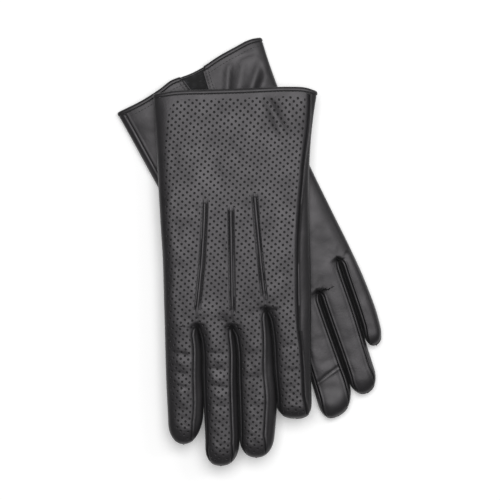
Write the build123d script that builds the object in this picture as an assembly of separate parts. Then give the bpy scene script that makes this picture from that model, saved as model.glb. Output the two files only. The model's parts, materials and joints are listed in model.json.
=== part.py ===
"""A pair of lined leather driving gloves, lying one across the other.

The right glove lies palm up on the surface, turned to one side. The left glove lies back up across it.
Each glove is a flat sleeve with four finger tubes and a thumb tube. The back is one perforated leather
and the palm one plain leather. The back leather wraps round the thumb side, the palm leather wraps
round the outer side, and strips called fourchettes join back to front between the fingers.

Each glove is drawn in its own frame: +X to the little finger, -Y to the fingertips, +Z up, with Y = 0
at the cuff and Z = 0 at its underside. Millimetres throughout.
"""

from build123d import *
import math
import os

os.makedirs("parts", exist_ok=True)

# Materials
leather = 0.9  # thickness of the glove leather
lining = 1.1  # thickness of the knitted lining
wall = leather + lining
gusset_thickness = 0.7  # elastic web behind the wrist vent

# Overall sizes. The tables below are drawn for these values and stretch with them.
cuff_width = 107.8
knuckle_reach = 168.0  # cuff to the finger hinges
finger_height = 12.0
across = cuff_width / 107.8
along = knuckle_reach / 168.0
tall = finger_height / 12.0

# Sleeve, from the cuff to the roots of the fingers
sleeve_corner = 4.2  # rounding of the folded edges
binding_length = 4.0  # leather strip that binds the cuff
thumb_side_seam = 4.0  # from the thumb-side fold to the seam on the palm side
knuckle_step = 12.0  # the little finger's hinge is this much nearer the cuff
little_reach = knuckle_reach - knuckle_step
hinge_gap = 0.4  # clearance between sleeve and fingers at the hinge line
step_margin = 0.1  # the sleeve's step at the little finger stands this far past the ring finger

# Fingers
finger_corner = 4.6
tip_rounding = 12.0  # length over which a fingertip rounds off
front_seam = 2.6  # from a finger's side to the seam on the palm side
touch_tip_length = 30.0  # fingertip patch, from the tip
touch_tip_slant = 23.0  # degrees that its seam leans across the finger

# Thumbs
thumb_width = 17.0
thumb_seam = 3.0  # from the thumb's side to the seam between its two halves
thumb_outside = 49.2  # from the glove's middle line to the outer side of the right thumb's root
thumb_inside = 25.0 * along  # how far back the right thumb's tube runs in the sleeve, which cuts it off
thumb_hole = 12.0  # diameter of the way from the palm into the left thumb

# Wrist vent on the palm side
vent_depth = 34.0
vent_mouth = (-4.4 * across, 10.0 * across)  # sides of the vent at the cuff
vent_end = (-0.5 * across, 5.0 * across)  # sides of the vent at its closed end
gusset_margin = 4.0  # how far the gusset reaches behind the leather

# Stitched points on the back: start and end of each ridge, as (x, distance from cuff)
points = [((-20.0, 71.0), (-25.0, 143.0)), ((-2.8, 76.0), (-2.6, 142.0)), ((13.0, 66.0), (20.4, 134.5))]
point_width = 2.2
point_rise = 0.5  # how far a ridge stands above the leather where it is free to

# The upper glove lies on the lower one
layer_gap = 0.6
upper_base = finger_height + layer_gap
thumb_base = 0.3  # the left thumb is tucked under its own palm, just off the surface
thumb_gap = 0.5  # clearance between the left thumb and the palm above it
thumb_height = upper_base - thumb_gap - thumb_base
fold_gap = 2.88  # clearance between the left thumb and the thumb-side fold of the glove below

big = 400.0  # longer than anything here, for cutting tools
tip_turns = (0, 28, 50, 68, 80, 87)  # degrees round the end of a fingertip, one section at each

left_glove = {
    "name": "left",
    "back_up": True,
    "base": upper_base,
    "turn": 0.0,
    "place": (-9.1, 103.8),
    # distance from the cuff, thumb-side edge, outer edge, height
    "edges": [
        (0, -53.9, 53.9, 9.2),
        (15, -53.0, 50.9, 9.6),
        (40, -51.8, 48.7, 10.6),
        (70, -49.9, 48.7, 11.5),
        (103, -48.6, 49.6, 12.0),
        (136, -46.8, 49.9, 12.0),
        (170, -46.0, 50.0, 12.0),
    ],
    "outer_seam": [(0, 5.0), (70, 5.5), (103, 8.5), (170, 9.5)],
    # centre at the hinge, width, reach from the hinge to the tip, lean, back seams from the centre
    "fingers": {
        "index": (-35.1, 21.6, 62.0, 1.8, (None, 4.5)),
        "middle": (-12.1, 22.0, 77.0, 1.3, (-8.4, 7.6)),
        "ring": (11.7, 23.0, 71.5, 0.7, (-9.6, 4.4)),
        "little": (37.3, 24.8, 58.0, 2.3, (-8.4, 7.2)),
    },
}

right_glove = {
    "name": "right",
    "back_up": False,
    "base": 0.0,
    "turn": 27.5,
    "edges": [
        (0, -53.7, 53.8, 9.2),
        (33, -52.8, 48.5, 10.4),
        (60, -52.3, 45.6, 11.2),
        (89, -51.5, 43.6, 12.0),
        (120, -48.5, 42.9, 12.0),
        (151, -42.5, 42.6, 12.0),
        (170, -36.0, 42.2, 12.0),
    ],
    "outer_seam": [(0, 5.0), (70, 5.5), (103, 8.5), (170, 9.5)],
    "fingers": {
        "index": (-25.0, 20.6, 62.0, -16.0, (None, 4.5)),
        "middle": (-2.4, 22.0, 77.0, -11.0, (-8.4, 7.6)),
        "ring": (19.3, 18.8, 71.5, -8.5, (-7.4, 4.0)),
        "little": (37.0, 11.6, 58.0, -7.6, (-3.4, 3.0)),
    },
}

left_thumb = {"root": (-37.2 * across, 108.0 * along), "reach": 62.0}
right_thumb = {"root": ((thumb_width / 2 - thumb_outside) * across, 116.6 * along), "reach": 70.0, "lean": -27.5}


def stretched(glove):
    """A glove's tables stretched to the overall sizes."""
    glove["edges"] = [(v * along, a * across, b * across, h * tall) for v, a, b, h in glove["edges"]]
    glove["outer_seam"] = [(v * along, inset * across) for v, inset in glove["outer_seam"]]
    for name, (centre, width, reach, lean, seams) in glove["fingers"].items():
        seams = tuple(None if seam is None else seam * across for seam in seams)
        glove["fingers"][name] = (centre * across, width * across, reach, lean, seams)
    ring_centre, ring_width = glove["fingers"]["ring"][:2]
    glove["step_x"] = ring_centre + ring_width / 2 + step_margin
    return glove


left_glove, right_glove = stretched(left_glove), stretched(right_glove)
lower_cuff_y = 115.6  # the lower glove's cuff, along Y
fold_reach = 103.0 * along  # where its thumb-side fold passes the left thumb


def section(width, height, corner, x, y, z):
    """A rounded rectangle standing across the glove at y, with its underside at z."""
    plane = Plane(origin=(x, y, z + height / 2), x_dir=(1, 0, 0), z_dir=(0, -1, 0))
    return plane * RectangleRounded(width, height, min(corner, 0.47 * width, 0.47 * height))


def slab(x0, x1, y0, y1, z0, z1):
    """A box between the given planes."""
    middle = Pos((x0 + x1) / 2, (y0 + y1) / 2, (z0 + z1) / 2)
    return middle * Box(abs(x1 - x0), abs(y1 - y0), abs(z1 - z0))


def prism(corners, z0, z1):
    """The outline through (x, distance from cuff) corners, between two heights."""
    outline = make_face(Polyline([(x, -v) for x, v in corners], close=True))
    return Pos(0, 0, z0) * extrude(outline, z1 - z0, dir=(0, 0, 1))


def only(shape):
    """The solids of a shape as one compound, without loose faces."""
    return Compound(children=list(shape.solids()))


def sleeve(glove, inset):
    """The palm's flat sleeve as a solid, taken in by inset, running past both ends."""
    first, last = glove["edges"][0], glove["edges"][-1]
    stations = [(-3, *first[1:]), *glove["edges"], (last[0] + 4, *last[1:])]
    faces = [
        section(
            right - left - 2 * inset,
            height - 2 * inset,
            sleeve_corner - inset,
            (left + right) / 2,
            -v,
            glove["base"] + inset,
        )
        for v, left, right, height in stations
    ]
    return loft(faces, ruled=True)


def reach_cutter(glove, shift):
    """Everything from the cuff to the finger hinges, with its step at the little finger."""
    step = glove["step_x"]
    corners = [
        (-big, 0),
        (big, 0),
        (big, little_reach + shift),
        (step, little_reach + shift),
        (step, knuckle_reach + shift),
        (-big, knuckle_reach + shift),
    ]
    return prism(corners, -big, big)


def edge_at(glove, v, side):
    """The sleeve's thumb-side (1) or outer (2) edge at a distance from the cuff."""
    rows = glove["edges"]
    for low, high in zip(rows, rows[1:]):
        if v <= high[0]:
            share = (v - low[0]) / (high[0] - low[0])
            return low[side] + share * (high[side] - low[side])
    return rows[-1][side]


def lower_place():
    """Where the lower glove lies: its thumb-side fold clears the left thumb by fold_gap."""
    turn = math.radians(right_glove["turn"])
    thumb_x = left_glove["place"][0] + left_thumb["root"][0]
    thumb_y = left_glove["place"][1] - left_thumb["root"][1]
    fold = edge_at(right_glove, fold_reach, 1)
    room = thumb_width / 2 + fold_gap - fold + math.sin(turn) * (thumb_y - lower_cuff_y)
    return (thumb_x + room / math.cos(turn), lower_cuff_y)


def back_cutter(glove):
    """The region of the sleeve whose leather is the perforated back."""
    split = glove["base"] + glove["edges"][0][3] / 2
    outer = [(edge_at(glove, v, 2) - inset, v) for v, inset in glove["outer_seam"]]
    outer = [(outer[0][0], -10), *outer, (outer[-1][0], 200)]
    inner = [(left + thumb_side_seam, v) for v, left, right, height in glove["edges"]]
    inner = [(inner[0][0], -10), *inner, (inner[-1][0], 200)]
    low, high = (split, big) if glove["back_up"] else (-big, split)
    face = prism([(-big, -10), *outer, (-big, 200)], low, high)
    fold = prism([(-big, -10), *inner, (-big, 200)], -big, big)
    return face + fold


def vent_shape(margin, z0, z1):
    """The wrist vent's outline, grown by margin."""
    (a, b), (c, d) = vent_mouth, vent_end
    corners = [
        (a - margin, -5),
        (b + margin, -5),
        (b + margin, 0),
        (d + margin, vent_depth + margin),
        (c - margin, vent_depth + margin),
        (a - margin, 0),
    ]
    return prism(corners, z0, z1)


def palm_side(glove):
    """Heights that hold the palm-side skin of the sleeve."""
    split = glove["base"] + glove["edges"][0][3] / 2
    return (-big, split) if glove["back_up"] else (split, big)


def point_ridges(glove):
    """The stitched points, through the back leather and standing on it where there is room."""
    ridges = []
    for (x0, v0), (x1, v1) in points:
        x0, x1, v0, v1 = x0 * across, x1 * across, v0 * along, v1 * along
        length = math.hypot(x1 - x0, v1 - v0)
        angle = math.degrees(math.atan2(x1 - x0, v1 - v0))
        plan = Pos((x0 + x1) / 2, -(v0 + v1) / 2, 0) * Rot(0, 0, angle + 90)
        low, high = glove["base"], glove["base"] + leather
        if glove["back_up"]:
            high = glove["base"] + finger_height + point_rise
            low = glove["base"] + finger_height - 2 * leather
        outline = plan * SlotOverall(length, point_width)
        ridges.append(Pos(0, 0, low) * extrude(outline, high - low, dir=(0, 0, 1)))
    return ridges


def finger_solid(width, reach, height, inset, back_off=8.0):
    """One finger as a solid along -Y, taken in by inset, with its hinge end at +back_off."""
    straight = reach - tip_rounding
    faces = [
        section(width - 2 * inset, height - 2 * inset, finger_corner - inset, 0, y, inset)
        for y in (back_off, 0, -straight / 2)
    ]
    rounding = tip_rounding - inset
    for turn in tip_turns:
        a = math.radians(turn)
        wide = (width - 2 * inset) * math.cos(a) ** 0.75
        tall = (height - 2 * inset) * math.cos(a) ** 0.6
        y = -(straight + rounding * math.sin(a))
        faces.append(section(wide, tall, finger_corner - inset, 0, y, (height - tall) / 2))
    return loft(faces, ruled=True)


def finger(glove, name):
    """Every piece of one finger, in the glove's frame, cut off at its hinge line."""
    centre, width, reach, lean, seams = glove["fingers"][name]
    start = little_reach if name == "little" else knuckle_reach
    back_up = glove["back_up"]
    outer = finger_solid(width, reach, finger_height, 0)
    middle = finger_solid(width, reach, finger_height, leather)
    inner = finger_solid(width, reach, finger_height, wall)
    skin = outer - middle
    knit = middle - inner
    half, mid = width / 2, finger_height / 2
    back_z = (mid, big) if back_up else (-big, mid)
    front_z = (-big, mid) if back_up else (mid, big)
    left_seam, right_seam = seams
    front_left, front_right = -half + front_seam, half - front_seam
    if name == "index":  # the back leather wraps round this side
        back_tool = slab(-big, right_seam, -big, big, *back_z)
        back_tool += slab(-big, -half + thumb_side_seam, -big, big, *front_z)
        front_tool = slab(-half + thumb_side_seam, front_right, -big, big, *front_z)
    elif name == "little":  # the palm leather wraps round this side
        back_tool = slab(left_seam, right_seam, -big, big, *back_z)
        front_tool = slab(front_left, big, -big, big, *front_z)
        front_tool += slab(right_seam, big, -big, big, *back_z)
    else:
        back_tool = slab(left_seam, right_seam, -big, big, *back_z)
        front_tool = slab(front_left, front_right, -big, big, *front_z)
    back, front = skin & back_tool, skin & front_tool
    sides = skin - back_tool - front_tool
    pieces = {"back": back, "front": front, "fourchettes": sides, "lining": knit}
    if name in ("index", "middle"):
        tip = Pos(0, -(reach - touch_tip_length), 0) * Rot(0, 0, touch_tip_slant)
        tool = tip * slab(-big, big, -big, 0, -big, big)
        pieces["touch_tip"] = front & tool
        pieces["front"] = front - tool
    place = Pos(centre, -start, glove["base"]) * Rot(0, 0, lean)
    keep = slab(-big, big, -big, -start - hinge_gap / 2, -big, big)
    return {f"{name}_{key}": (place * piece) & keep for key, piece in pieces.items()}


def thumb_pieces(reach, place, back_up, round_root, height):
    """A thumb tube in the glove's frame: two halves, a touch tip and its lining."""
    radius = thumb_width / 2
    layers = []
    for inset in (0, leather, wall):
        tube = finger_solid(thumb_width, reach, height, inset, back_off=radius if round_root else thumb_inside)
        if round_root:
            drum = Cylinder(radius - inset, height - 2 * inset)
            drum = Pos(0, 0, height / 2) * drum
            tube = (tube & slab(-big, big, -big, 0, -big, big)) + drum
        layers.append(tube)
    skin, knit = layers[0] - layers[1], layers[1] - layers[2]
    back_z = (height / 2, big) if back_up else (-big, height / 2)
    back_tool = slab(-radius + thumb_seam, big, -big, big, *back_z)
    back, front = skin & back_tool, skin - back_tool
    tip = Pos(0, -(reach - touch_tip_length + 4), 0) * Rot(0, 0, touch_tip_slant)
    tool = tip * slab(-big, big, -big, 0, -big, big)
    pieces = {"back": back, "front": front - tool, "touch_tip": front & tool, "lining": knit}
    return {f"thumb_{key}": place * piece for key, piece in pieces.items()}, place * layers[2]


def palm_pieces(glove):
    """The sleeve's back, palm, binding, gusset, points and lining."""
    outer, middle, inner = (sleeve(glove, inset) for inset in (0, leather, wall))
    reach = reach_cutter(glove, -hinge_gap / 2)
    past_binding = slab(-big, big, -big, -binding_length, -big, big)
    skin = (outer - middle) & reach
    knit = (middle - inner) & reach & past_binding
    binding = (outer - inner) & reach & slab(-big, big, -binding_length, 0, -big, big)
    palm_low, palm_high = palm_side(glove)
    vent = vent_shape(0, palm_low, palm_high)
    pocket = vent_shape(gusset_margin, palm_low, palm_high)
    web = middle - sleeve(glove, leather + gusset_thickness)
    back_tool = back_cutter(glove)
    skin = skin & past_binding
    ridges = point_ridges(glove)
    back = skin & back_tool
    for ridge in ridges:
        back -= ridge
    above = sleeve(glove, leather)
    ridges = [ridge - above if glove["back_up"] else ridge & outer - above for ridge in ridges]
    gusset = web & pocket & slab(-big, big, -big, 0, -big, big)
    return {
        "back_panel": back,
        "palm_panel": skin - back_tool - vent,
        "cuff_binding": binding - vent - gusset,
        "vent_gusset": gusset,
        "palm_lining": knit - pocket,
        "back_points": Compound(children=[solid for ridge in ridges for solid in ridge.solids()]),
    }


def glove_pieces(glove):
    """Every piece of one glove in its own frame, by name."""
    pieces = palm_pieces(glove)
    for name in glove["fingers"]:
        pieces |= finger(glove, name)
    if glove["name"] == "left":
        x, v = left_thumb["root"]
        place = Pos(x, -v, thumb_base)
        thumb, _ = thumb_pieces(left_thumb["reach"], place, False, True, thumb_height)
        way = Pos(x, -v, upper_base) * Cylinder(thumb_hole / 2, 3 * wall)
        way_in = Pos(x, -v, thumb_base + thumb_height) * Cylinder(thumb_hole / 2, 3 * wall)
        for key in thumb:
            thumb[key] -= way_in
        for key in ("palm_panel", "palm_lining"):
            pieces[key] -= way
    else:
        x, v = right_thumb["root"]
        place = Pos(x, -v, 0) * Rot(0, 0, right_thumb["lean"])
        thumb, hollow = thumb_pieces(right_thumb["reach"], place, False, False, finger_height)
        body = sleeve(glove, 0)
        for key in thumb:
            thumb[key] -= body
        for key in ("back_panel", "palm_panel", "palm_lining"):
            pieces[key] -= hollow
    return pieces | thumb


def hinge_places(glove):
    """The finger hinges of one glove, each a point on its axis, in the glove's frame."""
    top = glove["base"] + finger_height + 0.1
    places = {}
    for name, (centre, *_) in glove["fingers"].items():
        start = little_reach if name == "little" else knuckle_reach
        places[name] = (centre, -start, top)
    return places


def main():
    nodes, hinges = {}, {}
    right_glove["place"] = lower_place()
    for glove in (right_glove, left_glove):
        place = Pos(*glove["place"], 0) * Rot(0, 0, glove["turn"])
        for key, piece in glove_pieces(glove).items():
            nodes[f"{glove['name']}_{key}"] = only(place * piece)
        turn = math.radians(glove["turn"])
        axis = (math.cos(turn), math.sin(turn), 0)
        for name, point in hinge_places(glove).items():
            world = (place * Pos(*point)).position
            hinges[f"{glove['name']}_{name}"] = (world, axis)
    x, v = left_thumb["root"]
    hinges["left_thumb"] = ((Pos(*left_glove["place"], 0) * Pos(x, -v, thumb_base)).position, (0, 0, -1))

    box = Compound(children=[solid for node in nodes.values() for solid in node.solids()]).bounding_box()
    centre = Pos(-(box.min.X + box.max.X) / 2, -(box.min.Y + box.max.Y) / 2, -box.min.Z)
    for name, node in nodes.items():
        export_step(centre * node, f"parts/{name}.step")
    print("overall size", box.size)
    for name, (point, axis) in hinges.items():
        at = centre * Pos(*point)
        print("hinge", name, [round(c, 3) for c in at.position], [round(c, 5) for c in axis])
    print("moved by", [round(c, 4) for c in centre.position])


main()
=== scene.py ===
import json
import math

import bmesh
import bpy
import numpy as np
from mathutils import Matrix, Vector

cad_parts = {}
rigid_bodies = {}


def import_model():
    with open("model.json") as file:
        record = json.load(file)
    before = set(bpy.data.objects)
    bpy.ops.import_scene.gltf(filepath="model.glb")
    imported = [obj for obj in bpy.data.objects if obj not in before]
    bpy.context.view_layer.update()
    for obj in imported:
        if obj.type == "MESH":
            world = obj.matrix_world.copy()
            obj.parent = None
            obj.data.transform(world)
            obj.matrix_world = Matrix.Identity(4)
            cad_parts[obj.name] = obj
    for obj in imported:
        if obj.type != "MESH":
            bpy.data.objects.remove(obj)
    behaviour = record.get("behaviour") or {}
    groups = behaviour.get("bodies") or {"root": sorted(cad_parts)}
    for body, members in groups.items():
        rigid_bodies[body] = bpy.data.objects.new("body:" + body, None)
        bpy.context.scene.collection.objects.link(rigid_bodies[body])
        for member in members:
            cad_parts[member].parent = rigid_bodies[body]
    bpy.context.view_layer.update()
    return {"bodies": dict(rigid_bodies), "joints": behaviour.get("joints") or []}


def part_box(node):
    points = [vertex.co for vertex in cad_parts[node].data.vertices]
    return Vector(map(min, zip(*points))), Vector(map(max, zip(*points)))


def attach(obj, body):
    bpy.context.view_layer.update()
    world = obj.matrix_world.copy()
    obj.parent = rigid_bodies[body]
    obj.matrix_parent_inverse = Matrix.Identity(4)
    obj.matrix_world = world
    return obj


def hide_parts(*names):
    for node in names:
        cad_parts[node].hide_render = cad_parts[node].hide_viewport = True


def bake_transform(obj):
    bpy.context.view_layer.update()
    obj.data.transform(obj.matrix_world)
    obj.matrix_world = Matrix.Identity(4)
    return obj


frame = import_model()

fingerNames = ("index", "middle", "ring", "little")

points = {  # raised stitched lines on the back, from (x, v) through (x, v) to (x, v)
    "left": (((-20.0, 71), (-21.4, 103), (-25.0, 143)),
             ((-2.9, 76), (-2.4, 110), (-1.8, 144)),
             ((12.7, 67), (15.6, 97), (19.2, 134))),
    "right": (((-20.0, 71), (-19.0, 103), (-16.5, 144)),
              ((-2.9, 76), (2.0, 110), (7.5, 145)),
              ((12.7, 67), (20.0, 97), (29.0, 134))),
}
point = {"width": 2.0, "rise": 0.62, "groove": 0.6, "grooveAt": 1.45, "grooveWidth": 0.5}


def pointPath(name, n, t):
    # quadratic through the three stations of a point
    a, b, c = (np.array(p, float) for p in points[name][n])
    t = np.asarray(t)[..., None]
    p = a * (1 - t) * (1 - 2 * t) + b * 4 * t * (1 - t) + c * t * (2 * t - 1)
    return p[..., 0], p[..., 1]


def backSplits(name, *crotches):
    # the back parts into lanes along its points: straight from the cuff, along the point, on to the crotch
    splits = []
    for n, (crotchX, crotchV) in enumerate(crotches):
        x, v = pointPath(name, n, np.linspace(0, 1, 6))
        splits.append(((0, x[0]), (0.6 * v[0], x[0]), *zip(v.tolist(), x.tolist()), (crotchV, crotchX)))
    return splits


# Both gloves are drawn in millimetres in a glove's own space: x towards the little finger, v from the
# cuff to the fingertips, z up. side is "back" or "palm", and backUp says which of them is on top.
gloves = {
    "left": {
        "backUp": True,
        "hem": ((-54, 1.4), (-50, 0.8), (-40, -0.6), (-18, -1.4), (5, -2.1), (20, -2.8), (35, -3.3),
                (47, -2.6), (54, -0.4)),
        "edgeV": (0, 15, 33, 48, 70, 89, 104, 137, 150, 170, 190, 208, 230),
        "leftEdge": (-53.9, -53.0, -52.0, -51.2, -50.0, -48.9, -47.9, -46.8, -46.4, -45.9, -45.3, -44.2, -43.5),
        "rightEdge": (53.9, 51.6, 49.6, 48.8, 48.6, 49.0, 49.4, 50.0, 50.0, 49.9, 50.0, 50.2, 50.0),
        "backSplits": backSplits("left", (-24.7, 153.4), (-2.6, 154), (20.5, 142.6)),
        "palmSplits": (
            ((0, -29), (80, -27.0), (153.4, -24.7), (164, -23.0)),
            ((0, -4.4), (16, -1.6), (34, 1.6), (60, 0.0), (120, -2.0), (164.5, -0.4)),
            ((0, 10.0), (16, 6.6), (34, 4.6), (60, 12.0), (110, 20.0), (153, 22.6)),
        ),
        "rootV": {"back": (150.5, 153.4, 154.0, 142.6, 147.0), "palm": (160.0, 164.0, 164.5, 153.0, 156.0)},
        "outerSeam": ((0, 5.2), (17, 3.0), (53, 4.6), (104, 9.0), (130, 9.4), (147, 9.2)),
        "fingers": {
            "index": {
                "left": ((150, -46.4), (170, -45.9), (190, -45.3), (208, -44.4), (230, -43.6)),
                "right": ((153.4, -24.75), (158, -23.45), (164, -22.25), (185, -21.45), (206, -20.75),
                          (214, -21.2), (222, -22.9), (231, -24.2)),
                "tip": 230.6, "round": 14.0, "strip": (None, ((153, 4.8), (200, 6.2), (230, 6.6))),
            },
            "middle": {
                "left": ((153.4, -24.65), (158, -23.35), (164, -22.15), (185, -21.35), (206, -20.65),
                         (214, -20.2), (222, -19.8), (245, -19.5)),
                "right": ((154, -2.65), (158, -0.75), (164.5, 0.55), (190, 1.75), (215, 2.55), (229, 2.85),
                          (236, 2.2), (245, 0.6)),
                "tip": 244.8, "round": 14.0, "square": 2.6,
                "strip": (((153, 1.5), (240, 1.5)), ((154, 3.4), (190, 4.6), (240, 4.6))),
            },
            "ring": {
                "left": ((154, -2.55), (158, -0.65), (164.5, 0.65), (190, 1.85), (215, 2.65), (229, 2.95),
                         (239, 3.5)),
                "right": ((142.6, 20.45), (148, 22.35), (156, 23.85), (183, 25.85), (202, 27.6), (208, 27.3),
                          (215, 26.8), (222, 26.2), (239, 24.2)),
                "tip": 239.4, "round": 13.5, "square": 2.4,
                "strip": (((154, 1.7), (239, 1.7)), ((143, 4.2), (188, 7.2), (239, 6.4))),
            },
            "little": {
                "left": ((142.6, 20.55), (148, 22.45), (156, 23.95), (183, 25.95), (202, 27.7), (214, 28.9)),
                "right": ((147, 50.0), (170, 49.9), (190, 50.0), (203, 50.3), (214, 50.0)),
                "tip": 213.8, "round": 11.0, "square": 2.9,
                "strip": (((143, 1.6), (214, 1.4)), ((147, 9.2), (157, 8.2), (172, 6.3), (198, 5.2),
                          (214, 5.6))),
            },
        },
    },
    "right": {
        "backUp": False,
        "hem": ((-54, 0.0), (-35, 0.4), (-21, -0.9), (-12, -2.4), (-7, -1.9), (2, -0.8), (12, -0.9),
                (22, -2.0), (35, -2.4), (47, -2.2), (54, -0.3)),
        "edgeV": (0, 17, 33, 60, 89, 120, 151, 170, 190, 205, 230),
        "leftEdge": (-53.7, -53.2, -52.9, -52.3, -51.5, -48.8, -42.8, -36.4, -40.0, -44.0, -50.0),
        "rightEdge": (53.8, 50.8, 48.5, 45.6, 43.3, 42.4, 41.7, 40.6, 38.8, 36.0, 34.0),
        "backSplits": backSplits("right", (-15.6, 155), (9.2, 155.5), (31.0, 142.6)),
        "palmSplits": (
            ((0, -31), (80, -24.0), (155, -15.6), (165, -13.8)),
            ((0, -5.0), (9.3, -3.4), (20, -0.6), (34, 2.2), (60, 2.0), (120, 6.0), (166.2, 9.4)),
            ((0, 10.0), (14.8, 7.1), (24, 6.0), (34, 5.0), (60, 13.0), (110, 26.0), (153.1, 31.4)),
        ),
        "rootV": {"back": (150.5, 155.0, 155.5, 142.6, 144.0), "palm": (158.0, 165.0, 166.2, 153.1, 152.0)},
        "outerSeam": ((0, 5.2), (17, 4.0), (53, 5.0), (104, 8.0), (130, 8.4), (147, 8.0)),
        "fingers": {
            "index": {
                "left": ((150, -43.0), (158, -39.5), (170, -36.6), (190, -41.4), (210, -47.2), (231, -53.4)),
                "right": ((155, -15.6), (160, -14.4), (165, -13.8), (175, -16.0), (190, -20.4), (210, -26.2),
                          (231, -32.4)),
                "tip": 228.6, "round": 13.0, "square": 2.7, "strip": (None, ((155, 4.4), (228, 4.6))),
            },
            "middle": {
                "left": ((155, -15.6), (160, -14.4), (165, -13.8), (175, -14.6), (190, -17.2), (214, -21.4),
                         (245, -27.4)),
                "right": ((155.5, 9.2), (160, 9.6), (166.2, 9.3), (175, 7.9), (190, 5.7), (214, 2.3),
                          (230, -0.2), (238, -3.0), (245, -5.4)),
                "tip": 244.6, "round": 14.0, "square": 2.6,
                "strip": (((155, 2.0), (240, 2.0)), ((155, 3.0), (240, 3.0))),
            },
            "ring": {
                "left": ((155.5, 9.3), (160, 9.7), (166.2, 9.4), (175, 8.0), (190, 5.8), (214, 2.4),
                         (230, -0.1), (240, -1.0)),
                "right": ((142.6, 31.0), (148, 31.3), (153.1, 31.35), (167, 29.4), (190, 25.9), (213, 21.6),
                          (240, 17.0)),
                "tip": 240.0, "round": 12.5, "strip": (((155, 1.8), (239, 1.8)), ((143, 2.6), (239, 2.6))),
            },
            "little": {
                "left": ((142.6, 31.1), (148, 31.4), (153.1, 31.45), (167, 29.5), (190, 26.0), (214, 21.6)),
                "right": ((144, 41.9), (152, 41.7), (167, 41.0), (180, 39.8), (194, 38.0), (214, 33.4)),
                "tip": 214.4, "round": 9.5, "strip": (((143, 1.2), (214, 1.2)), ((144, 4.4), (214, 2.4))),
            },
        },
    },
}

form = {
    # unpunched leather along the thumb-side fold, by distance from the cuff
    "plainBand": ((0, 15.0), (5, 13.0), (12, 10.0), (25, 7.0), (45, 4.8), (80, 3.6), (160, 3.0)),
    "leather": 0.9,
    "heightV": (0, 15, 40, 70, 103, 245),
    "heights": (9.2, 9.6, 10.6, 11.5, 12.0, 12.0),
    "edgeRound": 10.0,  # how far in from a folded edge the skin is level
    "hemFade": 32.0,  # the cuff edge's curve has died out this far up the glove
    "cuffRound": 8.0,  # how much further on the thumb side at the cuff
    "thumbSeam": 4.0,  # thumb-side fold to the seam on the palm side
    "frontSeam": 2.6,
    "grooveRun": {"back": 3.8, "palm": 3.4},  # a crotch's groove starts this far before it
    "foldBack": 4.0,  # a length before a hinge, in mm
    "foldOn": 14.0,  # and one after it, in mm
}

touchTips = {  # seam of a touch tip: v at x = middle of the finger, and how much v changes per mm across
    ("left", "index"): (204.0, 0.17), ("left", "middle"): (217.0, 0.17),
    ("right", "index"): (203.0, -0.17), ("right", "middle"): (216.6, -0.165),
}


def hexColour(text):
    # sRGB hex to linear: a power curve with a straight foot
    c = np.array([int(text[i:i + 2], 16) / 255 for i in (1, 3, 5)])
    return (*np.where(c <= 0.04045, c / 12.92, ((c + 0.055) / 1.055) ** 2.4).tolist(), 1.0)


def addNode(tree, kind, links=None, **settings):
    made = tree.nodes.new("ShaderNode" + kind)
    for key, value in settings.items():
        setattr(made, key, value)
    for socket, source in (links or {}).items():
        if isinstance(source, bpy.types.NodeSocket):
            tree.links.new(source, made.inputs[socket])
        else:
            made.inputs[socket].default_value = source
    return made


def through(knots, at):
    # cubic through (place, value) knots, each knot's slope read from its neighbours
    k, y = np.array(knots, float).T
    slope = np.gradient(y, k)
    at = np.clip(at, k[0], k[-1])
    i = np.clip(np.searchsorted(k, at, side="right") - 1, 0, len(k) - 2)
    h = k[i + 1] - k[i]
    t = (at - k[i]) / h
    a, b = y[i], y[i + 1]
    return (a * (1 + 2 * t) * (1 - t) ** 2 + b * t * t * (3 - 2 * t)
            + h * slope[i] * t * (1 - t) ** 2 + h * slope[i + 1] * t * t * (t - 1))


def ease(t):
    t = np.clip(t, 0, 1)
    return t * t * (3 - 2 * t)


def powered(value, power):
    # the sign kept, the size raised to a power: the corners of a superellipse
    return np.sign(value) * np.abs(value) ** power


def heightAt(v):
    return np.interp(v, form["heightV"], form["heights"])


def arch(d, power=2.3):
    # superellipse arch: 0 at d = 0, upright there, and 1 from d = 1 on
    return (1 - (1 - np.clip(d, 0, 1)) ** power) ** (1 / power)


def ripple(x, v, size, seed):
    # smooth unevenness: sines of unlike directions and lengths added up, from about -1 to 1
    turns = np.random.default_rng(seed).uniform(0, 2 * math.pi, (6, 3))
    total = 0
    for n, (direction, phase, bend) in enumerate(turns):
        length = size * (0.7 + 0.24 * n)
        along = x * math.cos(direction) + v * math.sin(direction)
        across = v * math.cos(direction) - x * math.sin(direction)
        total = total + np.sin(2 * math.pi * along / length + phase + np.sin(across / length * 2 + bend))
    return total / 3.2


def crease(x, v, x0, v0, x1, v1, width, depth):
    # a soft line from (x0, v0) to (x1, v1): a Gaussian of the distance, fading at both ends
    dx, dv = x1 - x0, v1 - v0
    length = math.hypot(dx, dv)
    along = ((x - x0) * dx + (v - v0) * dv) / length
    across = ((x - x0) * dv - (v - v0) * dx) / length
    run = 0.35 * length + width
    fade = ease((along + width) / run) * ease((length + width - along) / run)
    return depth * np.exp(-(across / width) ** 2) * fade


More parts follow.
